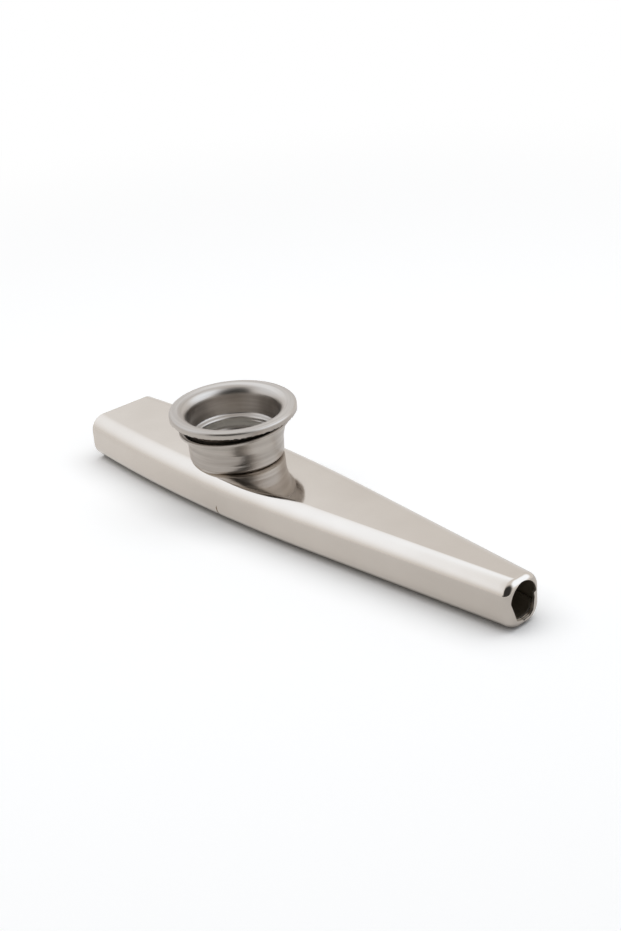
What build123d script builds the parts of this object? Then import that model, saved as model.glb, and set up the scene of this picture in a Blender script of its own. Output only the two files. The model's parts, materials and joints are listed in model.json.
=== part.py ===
from build123d import *
import os
from math import atan2, cos, radians, sin, sqrt, tan

# Sheet-metal kazoo: two body pressings, a threaded turret socket, a screw cap and a membrane.
# Millimetres. X runs from the mouth end to the outlet, Z is up, and the origin lies on the table
# under the middle of the body.

# Body outline, seen from above
length = 120.0
widest_width = 21.7
widest_from_mouth = 35.0
mouth_narrowing = 1.65
outlet_width = 8.8
knee_share = 0.212

# Body section
height = 10.0
sheet = 0.5
seam = 0.05
shoulder_inside = 2.8
heel_inside = 2.55
curl_inside = 0.4
hem = 0.5
hem_meeting_gap = 1.0
heel_share = 0.45
tray_rise = 3.0

# Turret socket, with heights measured up from the top of the body
turret_from_mouth = 41.0
turret_margin = 0.75
turret_sheet = 0.45
socket_height = 7.5
foot_inside = 0.45
flare_start = 5.3
flare_end = 6.9
flare_inside = 0.8
rim_flare = 1.6
rim_skew = 4.0
rim_skew_bearing = 50.0
seat_width = 2.45
eyelet_turn = 0.55

# Membrane
film_thickness = 0.1
ring_thickness = 0.3
ring_width = 2.15
membrane_clearance = 0.5

# Screw cap, with heights measured up from the top of the body
sleeve_gap = 0.05
throat_gap = 0.2
bore_gap = 0.75
ledge_height = 5.6
ledge_rise = 0.45
throat_height = 7.0
throat_inside = 0.55
flange_width = 3.35
flange_height = 11.25
flange_dish = 0.1
mouth_inside = 1.75
tight_inside = 0.15
lip_depth = 1.3

# Rolled thread of the socket and the cap
thread_pitch = 2.25
thread_bearing = 248.0
socket_turns = 1.5
sleeve_turns = 1.25
sleeve_lead = 0.5
thread_start = 1.45
thread_gap = 0.2
ridge_height = 0.4
ridge_base = 1.1
ridge_crest = 0.3
ridge_bite = 0.1
roll_depth = 0.15
flank_gap = 0.1

# How far cutting shapes run past the faces that they cut
past = 1.0

# Body outline: each side is an arc from the mouth to the widest place, then an arc that ends where
# a straight run to the outlet begins; the knee is the corner that the second arc rounds off
mouth_x = -length / 2
outlet_x = length / 2
widest_x = mouth_x + widest_from_mouth
half_width = widest_width / 2
mouth_arc_radius = (widest_from_mouth**2 + mouth_narrowing**2) / (2 * mouth_narrowing)
knee_run = knee_share * (outlet_x - widest_x)
knee_x = widest_x + knee_run
taper = atan2(half_width - outlet_width / 2, outlet_x - knee_x)
knee_arc_radius = knee_run / tan(taper / 2)

# Bends of the body, measured on its outside; the two heels have to fit side by side at the outlet
shoulder_radius = shoulder_inside + sheet
heel_radius = min(heel_inside + 2 * sheet + seam, heel_share * outlet_width)
curl_radius = curl_inside + 2 * sheet + seam
hem_inset = heel_radius + hem
hems_meet_x = outlet_x - (hem_inset + hem_meeting_gap / 2 - outlet_width / 2) / tan(taper)

# Turret stations
turret_x = mouth_x + turret_from_mouth
turret_axis = Axis((turret_x, 0, 0), (0, 0, 1))
turret_section = Plane((turret_x, 0, 0), x_dir=(1, 0, 0), z_dir=(0, -1, 0))
socket_radius = half_width - turret_margin
socket_bore = socket_radius - turret_sheet
eyelet_radius = socket_bore - seat_width
socket_floor = height + seam
seat_z = socket_floor + turret_sheet
rim_radius = socket_radius + rim_flare
rim_z = height + socket_height
rim_rise = rim_radius * tan(radians(rim_skew))
ring_z = seat_z + film_thickness
sleeve_end_z = ring_z + ring_thickness + sleeve_gap
ring_radius = socket_bore - membrane_clearance

# Bends of the turret's sheet, measured on their outside
foot_bend = foot_inside + turret_sheet
flare_bend = flare_inside + turret_sheet
throat_bend = throat_inside + turret_sheet
mouth_bend = mouth_inside + turret_sheet
tight_bend = tight_inside + turret_sheet

# Plane of the socket's rim, which rises towards its bearing
skew_direction = (
    -sin(radians(rim_skew)) * cos(radians(rim_skew_bearing)),
    -sin(radians(rim_skew)) * sin(radians(rim_skew_bearing)),
    cos(radians(rim_skew)),
)
rim_plane = Plane((turret_x, 0, rim_z), z_dir=skew_direction)

# Cap radii that follow from the socket
sleeve_radius = socket_bore - ridge_height - thread_gap
sleeve_bore = sleeve_radius - turret_sheet
throat_radius = socket_bore - throat_gap - turret_sheet
cap_bore = rim_radius - 2 * turret_sheet - bore_gap
flange_radius = cap_bore + flange_width

# The sleeve's ridge runs just under the socket's ridge, half of both widths and a gap lower
ridge_overlap = (ridge_height - thread_gap) / (ridge_height + ridge_bite)
ridge_at_overlap = ridge_crest + ridge_overlap * (ridge_base - ridge_crest)
ridge_offset = (ridge_crest + ridge_at_overlap) / 2 + flank_gap
socket_thread_z = height + thread_start
sleeve_thread_z = socket_thread_z - ridge_offset + sleeve_lead * thread_pitch


def outline(inset, start_x, end_x):
    """Plan of the body, moved in by inset and cut off square at start_x and end_x."""
    crown = (widest_x, half_width - inset)
    mouth_radius = mouth_arc_radius - inset
    mouth_drop = mouth_radius - sqrt(mouth_radius**2 - (start_x - widest_x) ** 2)
    start = (start_x, crown[1] - mouth_drop)
    bend_radius = knee_arc_radius - inset
    bend = (widest_x + bend_radius * sin(taper), crown[1] - bend_radius * (1 - cos(taper)))
    end = (end_x, bend[1] - (end_x - bend[0]) * tan(taper))
    with BuildSketch() as plan:
        with BuildLine():
            TangentArc(crown, start, tangent=(-1, 0))
            TangentArc(crown, bend, tangent=(1, 0))
            Line(bend, end)
            mirror(about=Plane.XZ)
            Line(end, (end[0], -end[1]))
            Line(start, (start[0], -start[1]))
        make_face()
    return plan.sketch


def hull(inset, start_x):
    """The whole body as one block, moved in by inset on every side but the mouth."""
    with BuildPart() as block:
        with BuildSketch(Plane.XY.offset(inset)):
            add(outline(inset, start_x, outlet_x - inset))
        extrude(amount=height - 2 * inset)
        top_edges = block.faces().sort_by(Axis.Z)[-1].edges()
        fillet(top_edges.filter_by(Axis.Y, reverse=True), shoulder_radius - inset)
        bottom_edges = block.faces().sort_by(Axis.Z)[0].edges()
        fillet(bottom_edges.filter_by(Axis.Y, reverse=True), heel_radius - inset)
        fillet(block.faces().sort_by(Axis.X)[-1].edges(), curl_radius - inset)
    return block.part


def thread(root_radius, crest_radius, start_z, turns, lead):
    """One helical ridge about the turret axis, which starts lead turns on from the thread's bearing."""
    with BuildPart() as ridge:
        with BuildLine() as path:
            Helix(
                pitch=thread_pitch,
                height=thread_pitch * turns,
                radius=root_radius,
                center=(turret_x, 0, start_z),
            )
        with BuildSketch(turret_section):
            with BuildLine():
                Polyline(
                    (root_radius, start_z - ridge_base / 2),
                    (crest_radius, start_z - ridge_crest / 2),
                    (crest_radius, start_z + ridge_crest / 2),
                    (root_radius, start_z + ridge_base / 2),
                    close=True,
                )
            make_face()
        sweep(path=path.line, is_frenet=True)
    return ridge.part.rotate(turret_axis, thread_bearing + 360 * lead)


# Body blocks: outside and inside of each pressing
shell_outside = hull(0, mouth_x)
shell_inside = hull(sheet, mouth_x - past)
tray_outside = hull(sheet + seam, mouth_x)
tray_inside = hull(2 * sheet + seam, mouth_x - past)
body_clearance = hull(-seam, mouth_x)
outlet_face = shell_outside.faces().sort_by(Axis.X)[-1]

# Upper pressing, open below between its hems and at both ends, with a hole for the turret's eyelet
with BuildPart() as top_shell:
    add(shell_outside)
    add(shell_inside, mode=Mode.SUBTRACT)
    with BuildSketch():
        add(outline(hem_inset, mouth_x - past, min(hems_meet_x, outlet_x + past)))
    extrude(amount=sheet + seam, mode=Mode.SUBTRACT)
    extrude(outlet_face, amount=-curl_radius, mode=Mode.SUBTRACT)
    with BuildSketch(Plane.XY.offset(height - sheet - seam)):
        with Locations((turret_x, 0)):
            Circle(eyelet_radius + seam)
    extrude(amount=sheet + 2 * seam, mode=Mode.SUBTRACT)
top_shell.part.label = "top_shell"

# Lower pressing, a tray that lies on the hems inside the upper one
with BuildPart() as bottom_tray:
    add(tray_outside)
    add(tray_inside, mode=Mode.SUBTRACT)
    extrude(outlet_face, amount=-2 * curl_radius, mode=Mode.SUBTRACT)
    split(bisect_by=Plane.XY.offset(sheet + tray_rise), keep=Keep.BOTTOM)
bottom_tray.part.label = "bottom_tray"

# Ridges and rolled grooves of the two threads
socket_ridge = thread(
    socket_bore + ridge_bite, socket_bore - ridge_height, socket_thread_z, socket_turns, 0
)
socket_groove = thread(
    socket_radius + ridge_bite, socket_radius - roll_depth, socket_thread_z, socket_turns, 0
)
sleeve_ridge = thread(
    sleeve_radius - ridge_bite, sleeve_radius + ridge_height, sleeve_thread_z, sleeve_turns, sleeve_lead
)
sleeve_groove = thread(
    sleeve_bore - ridge_bite, sleeve_bore + roll_depth, sleeve_thread_z, sleeve_turns, sleeve_lead
)

# Turret socket: a cup with a flared rim, whose eyelet is turned out under the top of the body
with BuildPart() as turret_socket:
    with BuildSketch(turret_section):
        with Locations((socket_radius - foot_bend, socket_floor)):
            Rectangle(turret_sheet, shoulder_radius, align=(Align.MAX, Align.MAX))
    revolve(axis=turret_axis)
    add(body_clearance, mode=Mode.SUBTRACT)
    with BuildSketch(turret_section):
        with BuildLine():
            Polyline(
                (eyelet_radius + eyelet_turn, height - sheet - seam),
                (eyelet_radius, height - sheet - seam),
                (eyelet_radius, socket_floor),
            )
            FilletPolyline(
                (eyelet_radius, socket_floor),
                (socket_radius, socket_floor),
                (socket_radius, height + flare_start),
                (rim_radius, height + flare_end),
                (rim_radius, rim_z + 2 * rim_rise),
                radius=[foot_bend, flare_bend, flare_bend],
            )
            offset(amount=turret_sheet, side=Side.LEFT)
        make_face()
    revolve(axis=turret_axis)
    split(bisect_by=rim_plane, keep=Keep.BOTTOM)
    add(socket_ridge)
    add(socket_groove, mode=Mode.SUBTRACT)
turret_socket.part.label = "turret_socket"

# Screw cap: a threaded sleeve, a ledge, a funnel and a flange with its edge rolled down
with BuildPart() as screw_cap:
    with BuildSketch(turret_section):
        with BuildLine():
            FilletPolyline(
                (sleeve_bore, sleeve_end_z),
                (sleeve_bore, height + ledge_height),
                (throat_radius, height + ledge_height + ledge_rise),
                (throat_radius, height + throat_height),
                (cap_bore, height + flange_height - flange_dish),
                (flange_radius, height + flange_height),
                (flange_radius, height + flange_height - lip_depth),
                radius=[tight_bend, tight_bend, throat_bend, mouth_bend, tight_bend],
            )
            offset(amount=turret_sheet, side=Side.RIGHT)
        make_face()
    revolve(axis=turret_axis)
    add(sleeve_ridge)
    add(sleeve_groove, mode=Mode.SUBTRACT)
screw_cap.part.label = "screw_cap"

# Membrane: a thin film bonded under a stiff ring, lying on the socket's seat
with BuildPart() as membrane_film:
    with BuildSketch(Plane.XY.offset(seat_z)):
        with Locations((turret_x, 0)):
            Circle(ring_radius)
    extrude(amount=film_thickness)
membrane_film.part.label = "membrane_film"

with BuildPart() as membrane_ring:
    with BuildSketch(Plane.XY.offset(ring_z)):
        with Locations((turret_x, 0)):
            Circle(ring_radius)
            Circle(ring_radius - ring_width, mode=Mode.SUBTRACT)
    extrude(amount=ring_thickness)
membrane_ring.part.label = "membrane_ring"

os.makedirs("parts", exist_ok=True)
for piece in (top_shell, bottom_tray, turret_socket, screw_cap, membrane_film, membrane_ring):
    export_step(piece.part, f"parts/{piece.part.label}.step")
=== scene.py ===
import json
from math import acos, atan2, cos, floor, pi, radians, sin, sqrt, tan

import bmesh
import bpy
from mathutils import Matrix, Quaternion, Vector, noise


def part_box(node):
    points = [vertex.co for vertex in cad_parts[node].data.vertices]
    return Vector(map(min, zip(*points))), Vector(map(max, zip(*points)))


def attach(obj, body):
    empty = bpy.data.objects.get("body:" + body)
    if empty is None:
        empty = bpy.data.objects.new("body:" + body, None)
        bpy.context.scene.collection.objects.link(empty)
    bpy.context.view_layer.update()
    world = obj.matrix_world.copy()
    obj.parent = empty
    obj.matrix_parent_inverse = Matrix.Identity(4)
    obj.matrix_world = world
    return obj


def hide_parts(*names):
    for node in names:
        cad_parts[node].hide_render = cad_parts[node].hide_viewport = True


# Looks of a sheet-metal kazoo, in metres, in the frame of the CAD model: X runs from the mouth end to
# the outlet, Z is up and the object lies on z = 0. Bearings are angles about Z, from +X to +Y.

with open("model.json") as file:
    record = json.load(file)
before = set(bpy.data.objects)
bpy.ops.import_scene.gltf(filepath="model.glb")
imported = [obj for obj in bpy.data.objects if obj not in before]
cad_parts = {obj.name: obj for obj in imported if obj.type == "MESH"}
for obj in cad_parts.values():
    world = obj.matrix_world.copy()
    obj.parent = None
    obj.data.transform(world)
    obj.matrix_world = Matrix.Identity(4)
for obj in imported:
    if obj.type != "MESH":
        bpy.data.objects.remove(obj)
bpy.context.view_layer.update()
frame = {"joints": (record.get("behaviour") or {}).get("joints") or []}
MM = 0.001

# Body, from the solids of its two pressings
shell_low, shell_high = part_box("top_shell")
tray_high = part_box("bottom_tray")[1]
MOUTH_X = shell_low.x
OUTLET_X = shell_high.x
HALF_WIDTH = shell_high.y
HEIGHT = shell_high.z
WIDEST_X = MOUTH_X + 35 * MM
MOUTH_NARROWING = 1.65 * MM
OUTLET_HALF_WIDTH = 4.4 * MM
KNEE_SHARE = 0.212
SHEET = 0.5 * MM
SEAM = 0.05 * MM
SHOULDER = 3.3 * MM
HEEL = 3.6 * MM
CURL = 1.45 * MM
HEM = 0.5 * MM
HAIRLINE = 0.04 * MM
HEMS_CLOSE = 14 * MM
TRAY_TOP = tray_high.z

# Side curves of the body: an arc from the mouth to the widest place, an arc to a straight run, the run
MOUTH_ARC = ((WIDEST_X - MOUTH_X) ** 2 + MOUTH_NARROWING**2) / (2 * MOUTH_NARROWING)
KNEE_RUN = KNEE_SHARE * (OUTLET_X - WIDEST_X)
TAPER = atan2(HALF_WIDTH - OUTLET_HALF_WIDTH, OUTLET_X - WIDEST_X - KNEE_RUN)
KNEE_ARC = KNEE_RUN / tan(TAPER / 2)

# Outlet hole in the end plane, as (y, z): an arch over two feet, and a lower part between straight cuts.
# RIM_REACH is how deep the rim may reach, in radii of its curl.
ARCH_RADIUS = 3.35 * MM
ARCH_CENTRE = (-0.06 * MM, 5.93 * MM)
SHELL_LOWER_EDGE = [
    (2.62 * MM, 5.93 * MM),
    (2.81 * MM, 4.9 * MM),
    (2.42 * MM, 2.4 * MM),
    (1.55 * MM, 1.6 * MM),
    (-0.3 * MM, 1.35 * MM),
    (-1.95 * MM, 1.95 * MM),
]
TRAY_LOWER_EDGE = [
    (2.7 * MM, 4.9 * MM),
    (2.2 * MM, 2.58 * MM),
    (1.45 * MM, 1.96 * MM),
    (-0.29 * MM, 1.65 * MM),
    (-1.9 * MM, 2.1 * MM),
    (-3.2 * MM, 5.0 * MM),
]
RIM_REACH = 3

# Nick in the lower edge of the near wall, with its sections in half widths from its middle
NICK_X = -14.1 * MM
NICK_TOP = 3.8 * MM
NICK_HALF_WIDTH = 0.22 * MM
NICK_DEPTH = 1.1 * MM
NICK_FADE = 0.6 * MM
NICK_SECTIONS = (-1.2, -1, -0.5, 0, 0.5, 1, 1.2)

# Turret, from the solids and joints of the CAD model
cap_turn = next(joint for joint in frame["joints"] if joint["name"] == "cap_turn")
cap_low, cap_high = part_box("screw_cap")
socket_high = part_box("turret_socket")[1]
ring_low, ring_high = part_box("membrane_ring")
film_low, film_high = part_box("membrane_film")
TURRET_X = cap_turn["pos_m"][0]
SEAT_Z = film_low.z
TURRET_SHEET = 0.45 * MM
FOOT_Z = SEAT_Z - TURRET_SHEET
RIM_RADIUS = socket_high.x - TURRET_X
RIM_FLARE = 1.6 * MM
RIM_TURN = 0.6 * MM
RIM_BEND = 0.5 * MM
SOCKET_RADIUS = RIM_RADIUS - RIM_FLARE
RIM_Z = HEIGHT + 7.2 * MM
FLARE_START_Z = HEIGHT + 4.3 * MM
FLARE_BEND = 5 * MM
SOCKET_DRAFT = 0.15 * MM
FOOT_BEND = 0.9 * MM
RIM_SKEW = radians(4)
RIM_SKEW_BEARING = radians(50)
EYELET_RADIUS = 7.2 * MM
EYELET_TURN = 0.55 * MM
SKIRT_RADIUS = SOCKET_RADIUS - FOOT_BEND
FLANGE_RADIUS = cap_high.x - TURRET_X
FLANGE_Z = HEIGHT + 11.25 * MM
FLANGE_DISH = 0.05 * MM
FLANGE_EDGE_BEND = 0.55 * MM
FLANGE_SKEW = radians(1.2)
FLANGE_SKEW_BEARING = radians(126)
LIP_Z = FLANGE_Z - 1.3 * MM
CAP_BORE = FLANGE_RADIUS - 3.3 * MM
THROAT_RADIUS = 9.4 * MM
BEAD_RADIUS = 9.15 * MM
THROAT_Z = HEIGHT + 7 * MM
SLEEVE_BORE = 8.15 * MM
SLEEVE_END_Z = cap_low.z
LEDGE_Z = HEIGHT + 5 * MM
LEDGE_TOP_Z = HEIGHT + 5.45 * MM
MOUTH_BEND = 2.2 * MM
THROAT_BEND = 1 * MM
LEDGE_BEND = 0.55 * MM
RING_RADIUS = ring_high.x - TURRET_X
RING_WIDTH = 2.15 * MM
RING_BEVEL = 0.04 * MM
FILM_LIFT = 0.02 * MM
FILM_SLACK = 0.06 * MM
FILM_WAVE = 3 * MM

# Rolled threads, each with the height and bearing of its lower end
THREAD_PITCH = 2.25 * MM
SOCKET_THREAD_Z = 11.3 * MM
SOCKET_THREAD_BEARING = radians(224)
SOCKET_THREAD_TURNS = 1.6
SLEEVE_THREAD_Z = 11.7 * MM
SLEEVE_THREAD_BEARING = 0
SLEEVE_THREAD_TURNS = 1.4
ROLL_DEPTH = 0.035 * MM
ROLL_HALF_WIDTH = 0.35 * MM
SLEEVE_ROLL_DEPTH = 0.3 * MM
SLEEVE_ROLL_HALF_WIDTH = 0.6 * MM
ROLL_FADE_TURNS = 0.12

# Uneven edge of the cap's rolled lip: waves on a circle of radius 1, and finer ones on top
RAGGED_HEIGHT = 0.4 * MM
RAGGED_DEPTH = 0.22 * MM
RAGGED_WAVES = 26
RAGGED_FINE_WAVES = 2.3 * RAGGED_WAVES
RAGGED_FINE_SHARE = 0.5

# Fineness of the meshes, the angle of a sharp edge, and the product below which lines are parallel
STATION_STEP = 1.2 * MM
ARC_STEPS = 14
WALL_STEPS = 14
HEM_STEPS = 2
TOP_STEPS = 5
FLOOR_STEPS = 4
CURL_STEPS = 12
ARCH_STEPS = 24
HOLE_STEPS = 96
EDGE_SUPPORT = 0.02
TURNS_STEPS = 288
FILM_RINGS = 24
PROFILE_STEP = 0.14 * MM
BEND_STEPS = 8
SHARP_ANGLE = radians(42)
PARALLEL = 1e-15

# Materials: colours and roughness run from the low to the high end of a noise, whose scale is per metre
WHITE = (1, 1, 1)
BLACK = (0, 0, 0)
NOISE_ENDS = (0.3, 0.7)
PLATE_COLOURS = ((0.585, 0.53, 0.475), (0.615, 0.56, 0.505))
PLATE_ROUGHNESS = (0.04, 0.12)
PLATE_CLOUDS = 90
PLATE_LINES = 2600
PLATE_LINES_STRETCH = (0.03, 1, 1)
# Colour of the bare metal inside the body, darkened further as painted shade for the dark inside of the
# tube
BARE_AND_SHADED_COLOURS = ((0.2, 0.165, 0.12), (0.34, 0.28, 0.21))
BARE_ROUGHNESS = (0.3, 0.5)
BARE_METALLIC = 0.4
SPUN_ENDS = (0.32, 0.68)
SPUN_COLOURS = ((0.385, 0.345, 0.31), (0.53, 0.485, 0.44))
SPUN_ROUGHNESS = (0.25, 0.39)
SPUN_STREAKS = 900
SPUN_MARKS = 5200
SPUN_CHANGE = 0.05
CARD_COLOURS = ((0.83, 0.83, 0.86), (0.9, 0.9, 0.93))
CARD_ROUGHNESS = 0.6
CARD_GRAIN = 3000
FILM_COLOURS = ((0.74, 0.77, 0.74), (0.84, 0.86, 0.84))
FILM_ROUGHNESS = (0.25, 0.4)
FILM_CREASES = 500
FILM_ALPHA = 0.6

# Camera of the photograph, which is 931 pixels high
VIEW_BEARING = radians(-40.05)
VIEW_ELEVATION = radians(25.89)
VIEW_ROLL = radians(-4.75)
VIEW_DISTANCE = 329.45 * MM
VIEW_TARGET = Vector((-10.83 * MM, 12.88 * MM, 5 * MM))
FOCAL_PIXELS = 1543.08
IMAGE_HEIGHT = 931
SENSOR = 36
CLIP_NEAR = 10 * MM
CLIP_FAR = 50

# Studio, with directions as seen from the object: a pale tent with a dark opening and a bright window
TENT_LEVEL = 0.93
EVEN_LEVEL = 0.33
OPENING_BEARING = radians(-58)
OPENING_ELEVATION = radians(19)
OPENING_LEVEL = 0.05
OPENING_CORE = radians(36)
OPENING_EDGE = radians(64)
WINDOW_BEARING = radians(42)
WINDOW_ELEVATION = radians(42)
WINDOW_LEVEL = 0.8
WINDOW_CORE = radians(20)
WINDOW_EDGE = radians(42)
WINDOW_TINT = (0.9, 1, 1.12)

# Lamp over the table
LAMP_PLACE = Vector((-0.036, 0.03, 0.445))
LAMP_LENGTH = 0.85
LAMP_WIDTH = 0.3
LAMP_WATTS = 1.3

# Soft panel that the metal mirrors. Its sides and ends say where the light starts to rise, where it is
# full, where it starts to fade and where it ends.
SOFTBOX_BEARING = radians(227)
SOFTBOX_ELEVATION = radians(60.6)
SOFTBOX_DISTANCE = 369 * MM
SOFTBOX_SPIN = radians(46.9)
SOFTBOX_SIDES = (-728 * MM, -28 * MM, -84 * MM, 101 * MM)
SOFTBOX_ENDS = (-697 * MM, 37 * MM, 485 * MM, 783 * MM)
SOFTBOX_LEVEL = 0.65
SOFTBOX_TINT = (0.92, 1, 1.1)

# White table, which turns into the backdrop between near and far. A glow is added for the camera and a
# sheen for mirrors, and both are shaded close to the object.
FLOOR_HALF_SIZE = 3
FLOOR_COLOUR = (0.93, 0.93, 0.93)
FLOOR_MIRRORED = 0.55
FLOOR_NEAR = 80 * MM
FLOOR_FAR = 350 * MM
FLOOR_GLOW = 0.3
FLOOR_SHEEN = (0.54, 0.32)
FLOOR_SHEEN_ENDS = (-60 * MM, 90 * MM)
SHADE_REACH = 10 * MM
MIRRORED_SHADE_REACH = 1.5 * MM
SHADE_FULL = 0.3


def smooth_step(low, high, value):
    """0 below low, 1 above high, and a smooth rise between them."""
    share = min(1, max(0, (value - low) / (high - low)))
    return share * share * (3 - 2 * share)


# Meshes


def grid_faces(rows, columns, wrap_rows, wrap_columns):
    """Quads of a grid of points, whose last row or column may join the first."""
    faces = []
    for row in range(rows if wrap_rows else rows - 1):
        for column in range(columns if wrap_columns else columns - 1):
            below, beside = (row + 1) % rows, (column + 1) % columns
            faces.append(
                (
                    row * columns + column,
                    row * columns + beside,
                    below * columns + beside,
                    below * columns + column,
                )
            )
    return faces


def add_piece(name, points, faces, material, body, node):
    """A piece that stands for one CAD node, smooth but for its sharp edges."""
    mesh = bpy.data.meshes.new(name)
    mesh.from_pydata(points, [], faces)
    work = bmesh.new()
    work.from_mesh(mesh)
    bmesh.ops.recalc_face_normals(work, faces=work.faces)
    work.to_mesh(mesh)
    work.free()
    piece = bpy.data.objects.new(name, mesh)
    bpy.context.scene.collection.objects.link(piece)
    finish_surface(mesh)
    mesh.materials.append(material)
    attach(piece, body)
    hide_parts(node)
    return piece


def finish_surface(mesh):
    """Smooth shading that breaks at edges."""
    mesh.shade_smooth()
    mesh.set_sharp_from_angle(angle=SHARP_ANGLE)


def sheet_rows_piece(name, rows, node):
    """A bent sheet from rows of points along its outside and back along its inside, which is marked."""
    count = len(rows[0])
    points = [point for row in rows for point in row]
    faces = grid_faces(len(rows), count, False, True)
    for row in (0, len(rows) - 1):
        first = row * count
        for step in range(count // 2 - 1):
            back = first + count - 1 - step
            faces.append((first + step, first + step + 1, back - 1, back))
    piece = add_piece(name, points, faces, body_metal, "kazoo_body", node)
    inside = piece.data.attributes.new("inside", "FLOAT", "POINT")
    for index, mark in enumerate(inside.data):
        mark.value = index % count >= count // 2
    return piece


# Body of the kazoo


def half_width(x, inset):
    """Half of the body's width at x, on the outline that lies inset inside the outer one."""
    run = abs(x - WIDEST_X)
    if x <= WIDEST_X:
        radius = MOUTH_ARC - inset
        drop = radius - sqrt(radius**2 - run**2)
    else:
        radius = KNEE_ARC - inset
        bend_run = min(run, radius * sin(TAPER))
        drop = radius - sqrt(radius**2 - bend_run**2) + (run - bend_run) * tan(TAPER)
    return HALF_WIDTH - inset - drop


def hem_edge(x):
    """Half of the gap between the two hems, which close to a hairline before the outlet."""
    gap = half_width(x, HEEL + HEM)
    closing = smooth_step(OUTLET_X - HEMS_CLOSE, OUTLET_X - 2 * CURL, x)
    return gap + closing * (HAIRLINE - gap)


def section_point(spoke, x, inset):
    """(y, z) of one spoke of the body's section at x, on the surface that lies inset inside the outside."""
    side, part, share = spoke
    width = half_width(x, inset)
    heel = HEEL - inset
    shoulder = SHOULDER - inset
    turn = share * pi / 2
    if part == "hem":
        y = hem_edge(x) + share * (width - heel - hem_edge(x))
        z = inset
    elif part == "floor":
        y = share * (width - heel)
        z = inset
    elif part == "heel":
        y = width - heel + heel * sin(turn)
        z = inset + heel - heel * cos(turn)
    elif part == "wall":
        y = width
        z = HEEL + share * (HEIGHT - SHOULDER - HEEL)
    elif part == "shoulder":
        y = width - shoulder + shoulder * cos(turn)
        z = HEIGHT - SHOULDER + shoulder * sin(turn)
    else:
        y = (1 - share) * (width - shoulder)
        z = HEIGHT - inset
    return side * y, z


def shares(steps):
    """Even shares from 0 to 1, with one more near each end to hold the surface flat there."""
    return [0, EDGE_SUPPORT] + [step / steps for step in range(1, steps)] + [1 - EDGE_SUPPORT, 1]


def arc_shares(steps, last=1):
    """Even shares of a bend, without its ends."""
    return [last * step / steps for step in range(1, steps)]


def mirrored(half):
    """Spokes of a whole section from those of its +Y half, which end at the middle."""
    near = [(-1, part, share) for part, share in half]
    far = [(1, part, share) for part, share in half]
    return near[:-1] + far[::-1]


def shell_spokes():
    """Spokes of the upper pressing, from the near hem over the top to the far hem."""
    half = [("hem", share) for share in shares(HEM_STEPS)]
    half += [("heel", share) for share in arc_shares(ARC_STEPS)]
    half += [("wall", share) for share in shares(WALL_STEPS)]
    half += [("shoulder", share) for share in arc_shares(ARC_STEPS)]
    half += [("top", share) for share in shares(TOP_STEPS)]
    return mirrored(half)


def tray_spokes():
    """Spokes of the lower pressing, from the top of its near wall under the floor to the far wall."""
    heel = HEEL - SHEET - SEAM
    top_share = acos((HEEL - TRAY_TOP) / heel) / (pi / 2)
    half = [("heel", top_share)]
    half += [("heel", share) for share in arc_shares(ARC_STEPS, top_share)[::-1]]
    half += [("floor", share) for share in shares(FLOOR_STEPS)[::-1]]
    return mirrored(half)


def hole_outline(lower_edge):
    """Corners of the outlet hole in the end plane, with the arch as short runs."""
    arch = []
    for step in range(ARCH_STEPS + 1):
        turn = pi - pi * step / ARCH_STEPS
        arch.append((ARCH_CENTRE[0] + ARCH_RADIUS * cos(turn), ARCH_CENTRE[1] + ARCH_RADIUS * sin(turn)))
    return arch + lower_edge


def rim_inset(spoke, outline):
    """How far in from the outside the rim of the outlet reaches on one spoke."""
    start = Vector(section_point(spoke, OUTLET_X, 0))
    inner = Vector(section_point(spoke, OUTLET_X, CURL))
    reach = (inner - start) * RIM_REACH
    for first, second in zip(outline, outline[1:] + outline[:1]):
        edge = Vector(second) - Vector(first)
        across = reach.x * edge.y - reach.y * edge.x
        if abs(across) < PARALLEL:
            continue
        gap = Vector(first) - start
        along = (gap.x * edge.y - gap.y * edge.x) / across
        beside = (gap.x * reach.y - gap.y * reach.x) / across
        if 0 <= along <= 1 and 0 <= beside <= 1:
            return along * RIM_REACH * CURL
    return CURL


def curl_point(spoke, rim, share, depth):
    """A point on the rim that curls in at the outlet, share of the way from the wall to the rim's edge."""
    bend = acos(1 - min(rim, CURL) / CURL)
    flat = max(0, rim - CURL)
    run = share * (CURL * bend + flat)
    turn = min(run / CURL, bend)
    x = OUTLET_X - CURL + (CURL - depth) * sin(turn)
    inset = CURL - (CURL - depth) * cos(turn) + max(0, run - CURL * bend)
    return (x, *section_point(spoke, x, inset))


def nicked(point):
    """A point of the body, pushed in where the near wall, on the side of -Y, has a nick."""
    x, y, z = point
    if y > 0 or abs(x - NICK_X) > NICK_HALF_WIDTH:
        return point
    near = 1 - abs(x - NICK_X) / NICK_HALF_WIDTH
    below = smooth_step(NICK_TOP, NICK_TOP - NICK_FADE, z)
    outer = half_width(x, 0)
    beside = smooth_step(outer - HEEL, outer - HEEL / 3, -y)
    return (x, y + NICK_DEPTH * near * below * beside, z)


def stations(end):
    """X of the sections along the body, closer together at the nick."""
    steps = round((end - MOUTH_X) / STATION_STEP)
    even = [MOUTH_X + (end - MOUTH_X) * step / steps for step in range(steps + 1)]
    fine = [NICK_X + NICK_HALF_WIDTH * place for place in NICK_SECTIONS]
    return sorted([x for x in even if abs(x - NICK_X) > 2 * NICK_HALF_WIDTH] + fine)


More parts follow.
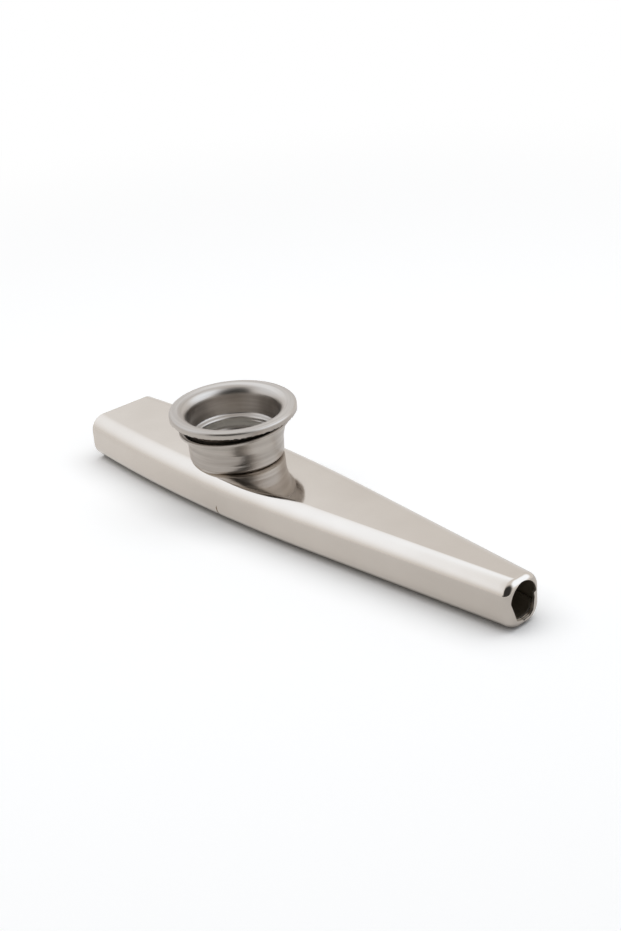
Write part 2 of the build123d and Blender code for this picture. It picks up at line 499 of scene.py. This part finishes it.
def body_sheet(name, node, spokes, depth, lower_edge):
    """One pressing of the body, whose outside lies depth inside the outside of the body."""
    outline = hole_outline(lower_edge)
    rims = [rim_inset(spoke, outline) for spoke in spokes]
    rows = []
    for x in stations(OUTLET_X - CURL):
        outside = [(x, *section_point(spoke, x, depth)) for spoke in spokes]
        inside = [(x, *section_point(spoke, x, depth + SHEET)) for spoke in spokes]
        rows.append([nicked(point) for point in outside + inside[::-1]])
    for step in range(1, CURL_STEPS + 1):
        share = step / CURL_STEPS
        outside = [curl_point(spoke, rim, share, depth) for spoke, rim in zip(spokes, rims)]
        inside = [curl_point(spoke, rim, share, depth + SHEET) for spoke, rim in zip(spokes, rims)]
        rows.append(outside + inside[::-1])
    return sheet_rows_piece(name, rows, node)


def cut_eyelet_hole(shell):
    """The hole in the top of the shell that the turret's eyelet goes through."""
    work = bmesh.new()
    bmesh.ops.create_cone(
        work,
        cap_ends=True,
        segments=HOLE_STEPS,
        radius1=EYELET_RADIUS + SEAM,
        radius2=EYELET_RADIUS + SEAM,
        depth=4 * SHEET,
    )
    bmesh.ops.translate(work, verts=work.verts, vec=(TURRET_X, 0, HEIGHT - SHEET / 2))
    cutter_mesh = bpy.data.meshes.new("eyelet_cutter")
    work.to_mesh(cutter_mesh)
    work.free()
    cutter = bpy.data.objects.new("eyelet_cutter", cutter_mesh)
    bpy.context.scene.collection.objects.link(cutter)
    cut = shell.modifiers.new("eyelet_hole", "BOOLEAN")
    cut.operation = "DIFFERENCE"
    cut.object = cutter
    cut.solver = "EXACT"
    shape = bpy.data.meshes.new_from_object(shell.evaluated_get(bpy.context.evaluated_depsgraph_get()))
    shell.modifiers.remove(cut)
    shell.data = shape
    bpy.data.objects.remove(cutter)
    finish_surface(shape)


# Turret


def rounded(corners, bends):
    """Points of a line of straight runs in (radius, z), with each inner corner bent to a radius."""
    path = [Vector(corners[0])]
    for before, corner, after, bend in zip(corners, corners[1:], corners[2:], bends):
        corner = Vector(corner)
        back = (Vector(before) - corner).normalized()
        ahead = (Vector(after) - corner).normalized()
        half = acos(max(-1, min(1, back.dot(ahead)))) / 2
        centre = corner + (back + ahead).normalized() * bend / sin(half)
        start = corner + back * bend / tan(half) - centre
        end = corner + ahead * bend / tan(half) - centre
        angle = atan2(start.x * end.y - start.y * end.x, start.dot(end))
        for step in range(BEND_STEPS + 1):
            turn = angle * step / BEND_STEPS
            across = start.x * cos(turn) - start.y * sin(turn)
            upward = start.x * sin(turn) + start.y * cos(turn)
            path.append(centre + Vector((across, upward)))
    path.append(Vector(corners[-1]))
    return path


def refined(path, step):
    """The same line with its long runs divided."""
    fine = [path[0]]
    for start, end in zip(path, path[1:]):
        count = max(1, round((end - start).length / step))
        fine += [start.lerp(end, share / count) for share in range(1, count + 1)]
    return fine


def thickened(path, thickness):
    """A closed outline: the line, and back along it at a distance to the right of its direction."""
    beside = []
    for index, point in enumerate(path):
        before = path[max(0, index - 1)]
        after = path[min(len(path) - 1, index + 1)]
        along = (after - before).normalized()
        beside.append(point + Vector((along.y, -along.x)) * thickness)
    return path + beside[::-1]


def lathe(name, outline, shape, material, body, node):
    """A closed outline turned about the turret's axis; shape moves each point by its bearing."""
    points = []
    for step in range(TURNS_STEPS):
        bearing = 2 * pi * step / TURNS_STEPS
        for radius, z in outline:
            radius, z = shape(radius, z, bearing)
            points.append((TURRET_X + radius * cos(bearing), radius * sin(bearing), z))
    faces = grid_faces(TURNS_STEPS, len(outline), True, True)
    add_piece(name, points, faces, material, body, node)


def roll(z, bearing, start_z, start_bearing, turns, reach):
    """Depth of a rolled helical groove at a place on a wall, from 0 to 1; reach is half of its width."""
    first = ((bearing - start_bearing) / (2 * pi)) % 1
    depth = 0
    for turn in range(floor(turns) + 1):
        place = first + turn
        away = abs(z - start_z - THREAD_PITCH * place) / reach
        if place < turns and away < 1:
            fade = smooth_step(0, ROLL_FADE_TURNS, min(place, turns - place))
            depth = max(depth, fade * (0.5 + 0.5 * cos(pi * away)))
    return depth


def socket_shape(radius, z, bearing):
    """The socket's wall with its rolled thread, and its rim that stands askew."""
    if radius > SKIRT_RADIUS and z < FLARE_START_Z:
        radius -= ROLL_DEPTH * roll(
            z, bearing, SOCKET_THREAD_Z, SOCKET_THREAD_BEARING, SOCKET_THREAD_TURNS, ROLL_HALF_WIDTH
        )
    askew = smooth_step(FLARE_START_Z, RIM_Z, z)
    z += askew * tan(RIM_SKEW) * radius * cos(bearing - RIM_SKEW_BEARING)
    return radius, z


def make_socket():
    """Cup with a flared rim; its eyelet is turned out under the top of the body."""
    path = [
        Vector((EYELET_RADIUS + EYELET_TURN, HEIGHT - SHEET - SEAM)),
        Vector((EYELET_RADIUS, HEIGHT - SHEET - SEAM)),
    ]
    path += rounded(
        [
            (EYELET_RADIUS, FOOT_Z),
            (SOCKET_RADIUS - SOCKET_DRAFT, FOOT_Z),
            (SOCKET_RADIUS, FLARE_START_Z),
            (RIM_RADIUS - RIM_TURN, RIM_Z),
            (RIM_RADIUS, RIM_Z),
        ],
        [FOOT_BEND, FLARE_BEND, RIM_BEND],
    )
    outline = thickened(refined(path, PROFILE_STEP), -TURRET_SHEET)
    lathe("socket", outline, socket_shape, turret_metal, "kazoo_body", "turret_socket")


def body_top(x, y):
    """Height of the body's outside over a point of its plan."""
    over = abs(y) - (half_width(x, 0) - SHOULDER)
    return HEIGHT if over <= 0 else HEIGHT - SHOULDER + sqrt(max(0, SHOULDER**2 - over**2))


def make_skirt():
    """Skirt under the socket's foot, which reaches down to the shoulders of the body."""
    top = FOOT_Z + TURRET_SHEET / 2
    inner = SKIRT_RADIUS - TURRET_SHEET
    points = []
    for step in range(TURNS_STEPS):
        bearing = 2 * pi * step / TURNS_STEPS
        x, y = TURRET_X + SKIRT_RADIUS * cos(bearing), SKIRT_RADIUS * sin(bearing)
        points += [(x, y, body_top(x, y)), (x, y, top)]
        x, y = TURRET_X + inner * cos(bearing), inner * sin(bearing)
        points += [(x, y, top), (x, y, body_top(x, y))]
    faces = grid_faces(TURNS_STEPS, len(points) // TURNS_STEPS, True, True)
    add_piece("socket_skirt", points, faces, turret_metal, "kazoo_body", "turret_socket")


def cap_shape(radius, z, bearing):
    """The cap's sleeve with its rolled thread, and the uneven edge of its lip."""
    if z < LEDGE_Z - LEDGE_BEND:
        radius += SLEEVE_ROLL_DEPTH * roll(
            z, bearing, SLEEVE_THREAD_Z, SLEEVE_THREAD_BEARING, SLEEVE_THREAD_TURNS, SLEEVE_ROLL_HALF_WIDTH
        )
    if radius > FLANGE_RADIUS - 2 * TURRET_SHEET:
        place = Vector((cos(bearing), sin(bearing), 0))
        wave = noise.noise(place * RAGGED_WAVES)
        wave += RAGGED_FINE_SHARE * noise.noise(place * RAGGED_FINE_WAVES)
        z += RAGGED_DEPTH * wave * smooth_step(LIP_Z + RAGGED_HEIGHT, LIP_Z, z)
    askew = smooth_step(THROAT_Z, LIP_Z, z)
    z += askew * tan(FLANGE_SKEW) * radius * cos(bearing - FLANGE_SKEW_BEARING)
    return radius, z


def make_cap():
    """Threaded sleeve, ledge, wide bore and dished flange with its edge rolled down."""
    path = rounded(
        [
            (SLEEVE_BORE, SLEEVE_END_Z),
            (SLEEVE_BORE, LEDGE_Z),
            (BEAD_RADIUS, LEDGE_TOP_Z),
            (THROAT_RADIUS, THROAT_Z),
            (CAP_BORE, FLANGE_Z - FLANGE_DISH),
            (FLANGE_RADIUS, FLANGE_Z),
            (FLANGE_RADIUS, LIP_Z),
        ],
        [LEDGE_BEND, LEDGE_BEND, THROAT_BEND, MOUTH_BEND, FLANGE_EDGE_BEND],
    )
    outline = thickened(refined(path, PROFILE_STEP), TURRET_SHEET)
    lathe("cap", outline, cap_shape, turret_metal, "cap", "screw_cap")


def as_drawn(radius, z, bearing):
    """No change to a point of an outline."""
    return radius, z


def make_ring():
    """Stiff ring with its corners broken."""
    inner = RING_RADIUS - RING_WIDTH
    low, high = ring_low.z, ring_high.z
    outline = [
        (inner, low),
        (RING_RADIUS - RING_BEVEL, low),
        (RING_RADIUS, low + RING_BEVEL),
        (RING_RADIUS, high - RING_BEVEL),
        (RING_RADIUS - RING_BEVEL, high),
        (inner + RING_BEVEL, high),
        (inner, high - RING_BEVEL),
    ]
    lathe("membrane_ring", outline, as_drawn, ring_card, "membrane", "membrane_ring")


def film_side(z):
    """Points of one side of the film, which is a little slack: its middle, and rings out to its edge."""
    points = [(TURRET_X, 0, z)]
    for ring in range(1, FILM_RINGS + 1):
        radius = RING_RADIUS * ring / FILM_RINGS
        free = smooth_step(EYELET_RADIUS - TURRET_SHEET, 0, radius)
        for step in range(TURNS_STEPS):
            bearing = 2 * pi * step / TURNS_STEPS
            x = TURRET_X + radius * cos(bearing)
            y = radius * sin(bearing)
            wave = noise.noise(Vector((x, y, 0)) / FILM_WAVE)
            points.append((x, y, z - FILM_SLACK * free * (1 + wave)))
    return points


def film_side_faces(middle):
    """Faces of one side of the film, whose points start with its middle."""
    faces = []
    for step in range(TURNS_STEPS):
        beside = (step + 1) % TURNS_STEPS
        faces.append((middle, middle + 1 + step, middle + 1 + beside))
        for ring in range(FILM_RINGS - 1):
            first = middle + 1 + ring * TURNS_STEPS
            second = first + TURNS_STEPS
            faces.append((first + step, first + beside, second + beside, second + step))
    return faces


def make_film():
    """Thin film, bonded under the ring."""
    lower = film_side(film_low.z + FILM_LIFT)
    upper = film_side(film_high.z)
    count = len(lower)
    faces = film_side_faces(0) + film_side_faces(count)
    edge = count - TURNS_STEPS
    for step in range(TURNS_STEPS):
        beside = (step + 1) % TURNS_STEPS
        faces.append((edge + step, edge + beside, count + edge + beside, count + edge + step))
    add_piece("membrane_film", lower + upper, faces, film_plastic, "membrane", "membrane_film")


# Materials


class Nodes:
    """A material's node tree, with short calls to add and join nodes."""

    def __init__(self, name):
        self.material = bpy.data.materials.new(name)
        self.material.use_nodes = True
        self.tree = self.material.node_tree
        self.shader = self.tree.nodes["Principled BSDF"]

    def add(self, kind, **settings):
        """A new node with its settings."""
        node = self.tree.nodes.new(kind)
        for name, value in settings.items():
            setattr(node, name, value)
        return node

    def join(self, source, output, target, socket):
        """A link from an output of one node to a socket of another."""
        outputs = {out.identifier: out for out in source.outputs}
        self.tree.links.new(outputs[output], target.inputs[socket])

    def noise(self, vector, scale, detail):
        """A noise texture over a vector, given as a node and its output."""
        texture = self.add("ShaderNodeTexNoise")
        texture.inputs["Scale"].default_value = scale
        texture.inputs["Detail"].default_value = detail
        self.join(*vector, texture, "Vector")
        return texture

    def ramp(self, source, output, low, high, first, last):
        """A colour that runs from first to last while the source runs from low to high."""
        ramp = self.add("ShaderNodeValToRGB")
        ramp.color_ramp.elements[0].position = low
        ramp.color_ramp.elements[1].position = high
        ramp.color_ramp.elements[0].color = (*first, 1)
        ramp.color_ramp.elements[1].color = (*last, 1)
        self.join(source, output, ramp, "Fac")
        return ramp

    def span(self, source, output, low, high, start=0, end=1, kind="LINEAR"):
        """A number that runs from low to high while the source runs from start to end."""
        span = self.add("ShaderNodeMapRange", interpolation_type=kind)
        span.inputs["From Min"].default_value = start
        span.inputs["From Max"].default_value = end
        span.inputs["To Min"].default_value = low
        span.inputs["To Max"].default_value = high
        self.join(source, output, span, "Value")
        return span

    def mix(self, share, first, second, kind):
        """A value that is the first where the share is 0 and the second where it is 1."""
        mix = self.add("ShaderNodeMix", data_type=kind)
        sockets = [socket for socket in mix.inputs if socket.enabled]
        for socket, (source, output) in zip(sockets, (share, first, second)):
            self.tree.links.new(source.outputs[output], socket)
        result = next(socket for socket in mix.outputs if socket.enabled)
        return mix, result.identifier

    def product(self, first, second):
        """The product of two numbers."""
        product = self.add("ShaderNodeMath", operation="MULTIPLY")
        self.join(*first, product, 0)
        self.join(*second, product, 1)
        return product, "Value"

    def bump(self, source, output, strength, distance):
        """A fine relief on the shader."""
        bump = self.add("ShaderNodeBump")
        bump.inputs["Strength"].default_value = strength
        bump.inputs["Distance"].default_value = distance
        self.join(source, output, bump, "Height")
        self.join(bump, "Normal", self.shader, "Normal")

    def place(self, scale=(1, 1, 1)):
        """Place in the object's own space, stretched."""
        where = self.add("ShaderNodeTexCoord")
        mapping = self.add("ShaderNodeMapping")
        mapping.inputs["Scale"].default_value = scale
        self.join(where, "Object", mapping, "Vector")
        return mapping, "Vector"


def make_body_metal():
    """Polished nickel plate with faint polishing lines along the body, and duller bare metal inside, whose
    colour is darkened further as painted shade for the dark inside of the tube.
    """
    nodes = Nodes("body_plate")
    inside = nodes.add("ShaderNodeAttribute", attribute_name="inside")
    nodes.join(nodes.span(inside, "Fac", 1, BARE_METALLIC), "Result", nodes.shader, "Metallic")
    clouds = nodes.noise(nodes.place(), PLATE_CLOUDS, detail=4)
    plate = nodes.ramp(clouds, "Fac", *NOISE_ENDS, *PLATE_COLOURS)
    # Bare metal inside, its colour darkened further: painted shade for the dark inside of the tube
    shaded_bare = nodes.ramp(clouds, "Fac", *NOISE_ENDS, *BARE_AND_SHADED_COLOURS)
    tint = nodes.mix((inside, "Fac"), (plate, "Color"), (shaded_bare, "Color"), "RGBA")
    nodes.join(*tint, nodes.shader, "Base Color")
    lines = nodes.noise(nodes.place(PLATE_LINES_STRETCH), PLATE_LINES, detail=3)
    polished = nodes.span(lines, "Fac", *PLATE_ROUGHNESS)
    dull = nodes.span(lines, "Fac", *BARE_ROUGHNESS)
    rough = nodes.mix((inside, "Fac"), (polished, "Result"), (dull, "Result"), "FLOAT")
    nodes.join(*rough, nodes.shader, "Roughness")
    nodes.bump(lines, "Fac", strength=0.05, distance=0.01 * MM)
    return nodes.material


def spun_place(nodes):
    """Distance from the turret's axis and height, which change a little round the axis."""
    where = nodes.add("ShaderNodeTexCoord")
    from_axis = nodes.add("ShaderNodeVectorMath", operation="SUBTRACT")
    from_axis.inputs[1].default_value = (TURRET_X, 0, 0)
    nodes.join(where, "Object", from_axis, 0)
    parts = nodes.add("ShaderNodeSeparateXYZ")
    nodes.join(from_axis, "Vector", parts, "Vector")
    flat = nodes.add("ShaderNodeCombineXYZ")
    nodes.join(parts, "X", flat, "X")
    nodes.join(parts, "Y", flat, "Y")
    radius = nodes.add("ShaderNodeVectorMath", operation="LENGTH")
    nodes.join(flat, "Vector", radius, 0)
    change = nodes.add("ShaderNodeVectorMath", operation="SCALE")
    change.inputs["Scale"].default_value = SPUN_CHANGE
    nodes.join(flat, "Vector", change, 0)
    rings = nodes.add("ShaderNodeCombineXYZ")
    nodes.join(radius, "Value", rings, "X")
    nodes.join(parts, "Z", rings, "Z")
    place = nodes.add("ShaderNodeVectorMath", operation="ADD")
    nodes.join(rings, "Vector", place, 0)
    nodes.join(change, "Vector", place, 1)
    return place, "Vector"


def make_turret_metal():
    """Spun plate, with turning marks round the turret's axis and darker streaks."""
    nodes = Nodes("turret_plate")
    nodes.shader.inputs["Metallic"].default_value = 1
    place = spun_place(nodes)
    streaks = nodes.noise(place, SPUN_STREAKS, detail=4)
    tint = nodes.ramp(streaks, "Fac", *SPUN_ENDS, *SPUN_COLOURS)
    nodes.join(tint, "Color", nodes.shader, "Base Color")
    marks = nodes.noise(place, SPUN_MARKS, detail=3)
    rough = nodes.span(marks, "Fac", *SPUN_ROUGHNESS)
    nodes.join(rough, "Result", nodes.shader, "Roughness")
    nodes.bump(marks, "Fac", strength=0.06, distance=0.01 * MM)
    return nodes.material


def make_ring_card():
    """Stiff white card with a fine fibre grain."""
    nodes = Nodes("ring_card")
    grain = nodes.noise(nodes.place(), CARD_GRAIN, detail=5)
    tint = nodes.ramp(grain, "Fac", *NOISE_ENDS, *CARD_COLOURS)
    nodes.join(tint, "Color", nodes.shader, "Base Color")
    nodes.shader.inputs["Roughness"].default_value = CARD_ROUGHNESS
    nodes.bump(grain, "Fac", strength=0.1, distance=0.02 * MM)
    return nodes.material


def make_film_plastic():
    """Thin translucent film with a faint green tinge and soft creases."""
    nodes = Nodes("film")
    creases = nodes.noise(nodes.place(), FILM_CREASES, detail=3)
    tint = nodes.ramp(creases, "Fac", *NOISE_ENDS, *FILM_COLOURS)
    nodes.join(tint, "Color", nodes.shader, "Base Color")
    rough = nodes.span(creases, "Fac", *FILM_ROUGHNESS)
    nodes.join(rough, "Result", nodes.shader, "Roughness")
    nodes.shader.inputs["Alpha"].default_value = FILM_ALPHA
    nodes.bump(creases, "Fac", strength=0.2, distance=0.05 * MM)
    return nodes.material


# Stage


def toward(bearing, elevation):
    """A direction from the object."""
    return Vector((cos(elevation) * cos(bearing), cos(elevation) * sin(bearing), sin(elevation)))


def spot(tree, direction, edge, core):
    """A node that gives 0 away from a direction and 1 near it."""
    where = tree.nodes.new("ShaderNodeTexCoord")
    along = tree.nodes.new("ShaderNodeVectorMath")
    along.operation = "DOT_PRODUCT"
    along.inputs[1].default_value = direction
    tree.links.new(where.outputs["Generated"], along.inputs[0])
    share = tree.nodes.new("ShaderNodeMapRange")
    share.interpolation_type = "SMOOTHSTEP"
    share.inputs["From Min"].default_value = cos(edge)
    share.inputs["From Max"].default_value = cos(core)
    tree.links.new(along.outputs["Value"], share.inputs["Value"])
    return share


def mirrored_tent(tree, window):
    """Level of the tent in a mirror: dark in the opening, and brighter in the window."""
    opening = spot(tree, toward(OPENING_BEARING, OPENING_ELEVATION), OPENING_EDGE, OPENING_CORE)
    opening.inputs["To Min"].default_value = TENT_LEVEL
    opening.inputs["To Max"].default_value = OPENING_LEVEL
    brighter = tree.nodes.new("ShaderNodeMath")
    brighter.operation = "MULTIPLY_ADD"
    brighter.inputs[1].default_value = WINDOW_LEVEL
    tree.links.new(window.outputs["Result"], brighter.inputs[0])
    tree.links.new(opening.outputs["Result"], brighter.inputs[2])
    return brighter.outputs["Value"]


def make_world():
    """A pale tent with an opening and a window; it lights evenly, and is white where it is seen."""
    world = bpy.data.worlds.new("tent")
    bpy.context.scene.world = world
    world.use_nodes = True
    tree = world.node_tree
    window = spot(tree, toward(WINDOW_BEARING, WINDOW_ELEVATION), WINDOW_EDGE, WINDOW_CORE)
    path = tree.nodes.new("ShaderNodeLightPath")
    even = tree.nodes.new("ShaderNodeMix")
    even.inputs["B"].default_value = EVEN_LEVEL
    tree.links.new(path.outputs["Is Diffuse Ray"], even.inputs["Factor"])
    tree.links.new(mirrored_tent(tree, window), even.inputs["A"])
    level = tree.nodes.new("ShaderNodeMath")
    level.operation = "MAXIMUM"
    tree.links.new(even.outputs["Result"], level.inputs[0])
    tree.links.new(path.outputs["Is Camera Ray"], level.inputs[1])
    tint = tree.nodes.new("ShaderNodeValToRGB")
    tint.color_ramp.elements[0].color = (*WHITE, 1)
    tint.color_ramp.elements[1].color = (*WINDOW_TINT, 1)
    tree.links.new(window.outputs["Result"], tint.inputs["Fac"])
    background = tree.nodes["Background"]
    tree.links.new(tint.outputs["Color"], background.inputs["Color"])
    tree.links.new(level.outputs["Value"], background.inputs["Strength"])


def make_lamp():
    """The light on the table; the metal mirrors the panel instead of it."""
    data = bpy.data.lights.new("lamp", "AREA")
    data.energy = LAMP_WATTS
    data.shape = "RECTANGLE"
    data.size = LAMP_LENGTH
    data.size_y = LAMP_WIDTH
    lamp = bpy.data.objects.new("lamp", data)
    lamp.location = LAMP_PLACE
    lamp.rotation_mode = "QUATERNION"
    lamp.rotation_quaternion = (-LAMP_PLACE).to_track_quat("-Z", "Y")
    lamp.visible_glossy = False
    bpy.context.scene.collection.objects.link(lamp)


def add_rectangle(name, left, right, near, far):
    """A flat object in its own XY plane."""
    mesh = bpy.data.meshes.new(name)
    corners = [(left, near, 0), (right, near, 0), (right, far, 0), (left, far, 0)]
    mesh.from_pydata(corners, [], [(0, 1, 2, 3)])
    rectangle = bpy.data.objects.new(name, mesh)
    bpy.context.scene.collection.objects.link(rectangle)
    return rectangle


def make_softbox_glow():
    """Light that fades toward the four edges of the panel."""
    nodes = Nodes("softbox")
    parts = nodes.add("ShaderNodeSeparateXYZ")
    nodes.join(nodes.add("ShaderNodeTexCoord"), "Object", parts, "Vector")
    cover = None
    for axis, (start, full, fading, end) in (("X", SOFTBOX_SIDES), ("Y", SOFTBOX_ENDS)):
        for low, high, first, last in ((start, full, 0, 1), (fading, end, 1, 0)):
            edge = nodes.span(parts, axis, first, last, low, high, "SMOOTHSTEP")
            cover = nodes.product(cover, (edge, "Result")) if cover else (edge, "Result")
    level = nodes.span(*cover, TENT_LEVEL, TENT_LEVEL + SOFTBOX_LEVEL)
    tint = nodes.ramp(*cover, 0, 1, WHITE, SOFTBOX_TINT)
    nodes.join(tint, "Color", nodes.shader, "Emission Color")
    nodes.join(level, "Result", nodes.shader, "Emission Strength")
    nodes.shader.inputs["Base Color"].default_value = (*BLACK, 1)
    nodes.shader.inputs["Specular IOR Level"].default_value = 0
    return nodes.material


def make_softbox():
    """A large soft panel over the mouth end, which only mirrors show."""
    aim = toward(SOFTBOX_BEARING, SOFTBOX_ELEVATION)
    across = Vector((-sin(SOFTBOX_BEARING), cos(SOFTBOX_BEARING), 0))
    upward = aim.cross(across)
    side = across * cos(SOFTBOX_SPIN) + upward * sin(SOFTBOX_SPIN)
    length = upward * cos(SOFTBOX_SPIN) - across * sin(SOFTBOX_SPIN)
    panel = add_rectangle(
        "softbox", SOFTBOX_SIDES[0], SOFTBOX_SIDES[-1], SOFTBOX_ENDS[0], SOFTBOX_ENDS[-1]
    )
    turn = Matrix((side, length, side.cross(length))).transposed()
    panel.matrix_world = Matrix.Translation(aim * SOFTBOX_DISTANCE) @ turn.to_4x4()
    panel.visible_camera = False
    panel.visible_diffuse = False
    panel.visible_shadow = False
    panel.data.materials.append(make_softbox_glow())


def open_floor(nodes, mirror):
    """1 on the open floor and 0 where the object stands close over it."""
    shade = nodes.add("ShaderNodeAmbientOcclusion")
    reach = nodes.span(mirror, "Value", SHADE_REACH, MIRRORED_SHADE_REACH)
    nodes.join(reach, "Result", shade, "Distance")
    return nodes.span(shade, "AO", 0, 1, SHADE_FULL), "Result"


def floor_glow(nodes, where, backdrop, path, mirror):
    """Glow of the floor to the camera and in mirrors, which rises to that of the backdrop."""
    seen_level = nodes.span(backdrop, "Result", FLOOR_GLOW, 1)
    seen = nodes.product((path, "Is Camera Ray"), (seen_level, "Result"))
    parts = nodes.add("ShaderNodeSeparateXYZ")
    nodes.join(where, "Object", parts, "Vector")
    sheen = nodes.span(parts, "X", *FLOOR_SHEEN, *FLOOR_SHEEN_ENDS)
    mirrored_level = nodes.span(backdrop, "Result", 0, 1)
    nodes.join(sheen, "Result", mirrored_level, "To Min")
    shown = nodes.product((mirror, "Value"), (mirrored_level, "Result"))
    glow = nodes.add("ShaderNodeMath", operation="ADD")
    nodes.join(*seen, glow, 0)
    nodes.join(*shown, glow, 1)
    return nodes.product((glow, "Value"), open_floor(nodes, mirror))


def make_floor_white():
    """Plain white, which gives way to a glow away from the object and is darker in mirrors."""
    nodes = Nodes("floor")
    nodes.shader.inputs["Roughness"].default_value = 1
    nodes.shader.inputs["Specular IOR Level"].default_value = 0
    where = nodes.add("ShaderNodeTexCoord")
    away = nodes.add("ShaderNodeVectorMath", operation="LENGTH")
    nodes.join(where, "Object", away, 0)
    backdrop = nodes.span(away, "Value", 0, 1, FLOOR_NEAR, FLOOR_FAR, "SMOOTHSTEP")
    path = nodes.add("ShaderNodeLightPath")
    mirror = nodes.add("ShaderNodeMath", operation="MAXIMUM")
    nodes.join(path, "Is Glossy Ray", mirror, 0)
    nodes.join(path, "Is Transmission Ray", mirror, 1)
    colour = nodes.ramp(backdrop, "Result", 0, 1, FLOOR_COLOUR, BLACK)
    darker = nodes.add("ShaderNodeVectorMath", operation="SCALE")
    nodes.join(colour, "Color", darker, 0)
    nodes.join(nodes.span(mirror, "Value", 1, FLOOR_MIRRORED), "Result", darker, "Scale")
    nodes.join(darker, "Vector", nodes.shader, "Base Color")
    nodes.shader.inputs["Emission Color"].default_value = (*WHITE, 1)
    glow = floor_glow(nodes, where, backdrop, path, mirror)
    nodes.join(*glow, nodes.shader, "Emission Strength")
    return nodes.material


def make_floor():
    """A plain white table top, which runs on into a white backdrop away from the object."""
    table = add_rectangle("floor", -FLOOR_HALF_SIZE, FLOOR_HALF_SIZE, -FLOOR_HALF_SIZE, FLOOR_HALF_SIZE)
    table.data.materials.append(make_floor_white())


def make_camera():
    """The photograph's camera."""
    back = toward(VIEW_BEARING, VIEW_ELEVATION)
    data = bpy.data.cameras.new("camera")
    data.sensor_width = SENSOR
    data.lens = FOCAL_PIXELS * SENSOR / IMAGE_HEIGHT
    data.clip_start = CLIP_NEAR
    data.clip_end = CLIP_FAR
    camera = bpy.data.objects.new("camera", data)
    camera.location = VIEW_TARGET + back * VIEW_DISTANCE
    camera.rotation_mode = "QUATERNION"
    camera.rotation_quaternion = (-back).to_track_quat("-Z", "Y") @ Quaternion((0, 0, 1), VIEW_ROLL)
    bpy.context.scene.collection.objects.link(camera)
    bpy.context.scene.camera = camera


body_metal = make_body_metal()
turret_metal = make_turret_metal()
ring_card = make_ring_card()
film_plastic = make_film_plastic()

shell = body_sheet("shell", "top_shell", shell_spokes(), 0, SHELL_LOWER_EDGE)
cut_eyelet_hole(shell)
body_sheet("tray", "bottom_tray", tray_spokes(), SHEET + SEAM, TRAY_LOWER_EDGE)
make_socket()
make_skirt()
make_cap()
make_ring()
make_film()

make_world()
make_softbox()
make_lamp()
make_floor()
make_camera()
bpy.context.scene.view_settings.view_transform = "Standard"
